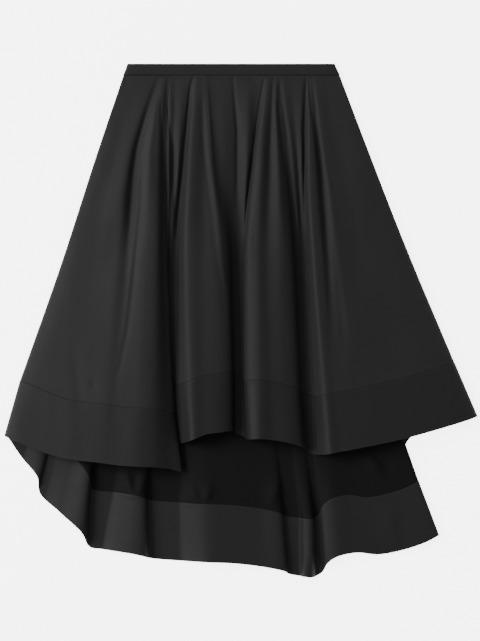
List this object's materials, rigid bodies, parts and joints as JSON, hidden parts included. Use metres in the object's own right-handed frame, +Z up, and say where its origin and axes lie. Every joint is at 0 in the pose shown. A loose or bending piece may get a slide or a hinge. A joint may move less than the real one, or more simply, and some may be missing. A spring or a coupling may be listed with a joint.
{
  "type": "pleated skirt",
  "caption": "Black satin pleated skirt with a straight waistband, deep rolled folds and a stitched hem band, high in front and long at the back, laid flat",
  "frame": {"origin": "centre of the box the laid skirt fills, on the surface it lies on", "axes": "+X across the skirt to the right as seen from above, +Y up the skirt from the back hem towards the waistband, +Z up, out of the surface the skirt lies on"},
  "size_m": [0.8042, 0.8726, 0.0428],
  "materials": {
    "black_satin": "satin"
  },
  "bodies": {
    "root": {"waistband_front": "black_satin", "waistband_back": "black_satin", "skirt_front": "black_satin", "skirt_back": "black_satin", "hem_band_front": "black_satin", "hem_band_back": "black_satin"}
  },
  "joints": []
}
